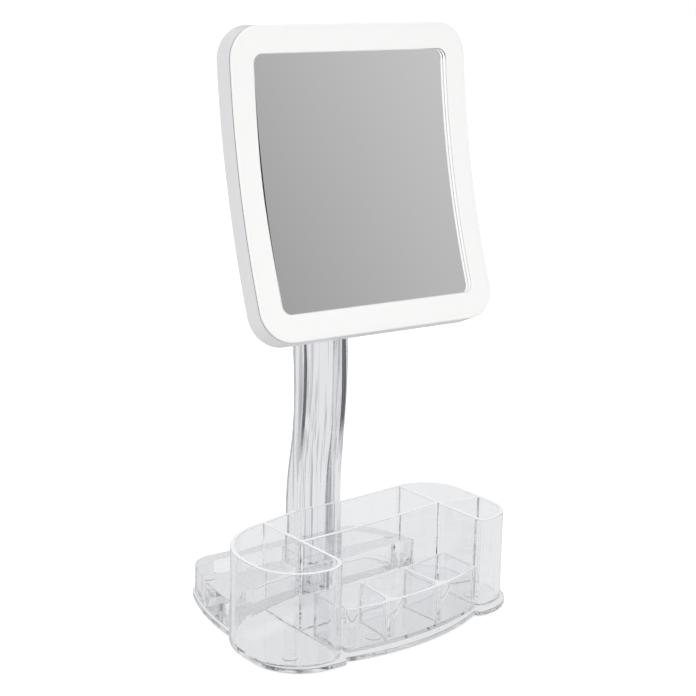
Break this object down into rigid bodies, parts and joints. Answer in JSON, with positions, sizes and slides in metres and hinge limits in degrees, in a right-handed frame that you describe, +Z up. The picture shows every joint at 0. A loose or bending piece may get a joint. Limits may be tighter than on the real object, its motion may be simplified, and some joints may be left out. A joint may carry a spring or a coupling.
{
  "type": "vanity mirror with drawer",
  "caption": "Lit, bent vanity mirror that tilts on a clear waisted post, with a clear organiser base and a pull-out tray.",
  "frame": {"origin": "middle of the base's footprint, on the table", "axes": "+Z up, +X to the right of someone who looks in the mirror, -Y towards them"},
  "size_m": [0.192, 0.151, 0.3544],
  "materials": {
    "clear_acrylic": "clear moulded, glossy",
    "clear_rubber": "soft, semi-clear",
    "steel": "bright plated",
    "bracket_metal": "silver painted",
    "washer_plastic": "matt",
    "silver_plastic": "satin silver grey",
    "lit_diffuser": "white diffuser, lit from behind",
    "mirror_sheet": "silvered",
    "foam": "foam",
    "white_plastic": "satin",
    "led_lens": "clear lens over phosphor",
    "board": "solder mask",
    "black_plastic": "satin",
    "cell_steel": "plain wrap",
    "contact_metal": "nickel plated"
  },
  "bodies": {
    "base": {"organiser_base": "clear_acrylic", "foot_pads": "clear_rubber", "stand_post": "clear_acrylic", "post_screws": "steel", "hinge_bracket": "bracket_metal", "bracket_screws": "steel", "hinge_pin": "steel", "hinge_nut": "steel", "friction_washers": "washer_plastic"},
    "head": {"rear_housing": "silver_plastic", "front_bezel": "lit_diffuser", "mirror_glass": "mirror_sheet", "mirror_tape": "foam", "mirror_carrier": "white_plastic", "housing_screws": "steel", "head_knuckle": "silver_plastic", "knuckle_screws": "steel", "led_strips": "white_plastic", "leds": "led_lens", "driver_board": "board", "board_screws": "steel", "tact_switch": "black_plastic", "battery_box": "silver_plastic", "battery_cells": "cell_steel", "contact_plates": "contact_metal", "contact_springs": "contact_metal"},
    "tray": {"drawer_tray": "clear_acrylic"},
    "door": {"battery_door": "silver_plastic"},
    "button": {"power_button": "white_plastic"}
  },
  "joints": [
    {"name": "head_tilt", "type": "hinge", "parent": "base", "child": "head", "pos_m": [0, 0.01762, 0.26033], "axis": [1, 0, 0], "range_deg": [-20, 20]},
    {"name": "tray_slide", "type": "slide", "parent": "base", "child": "tray", "axis": [0, -1, 0], "range_m": [0, 0.04]},
    {"name": "door_slide", "type": "slide", "parent": "head", "child": "door", "axis": [0, 0.1534, 0.9882], "range_m": [0, 0.018]},
    {"name": "button_press", "type": "slide", "parent": "head", "child": "button", "axis": [0, -0.9452, 0.3266], "range_m": [0, 0.0006], "stiffness_N_per_m": 900}
  ]
}
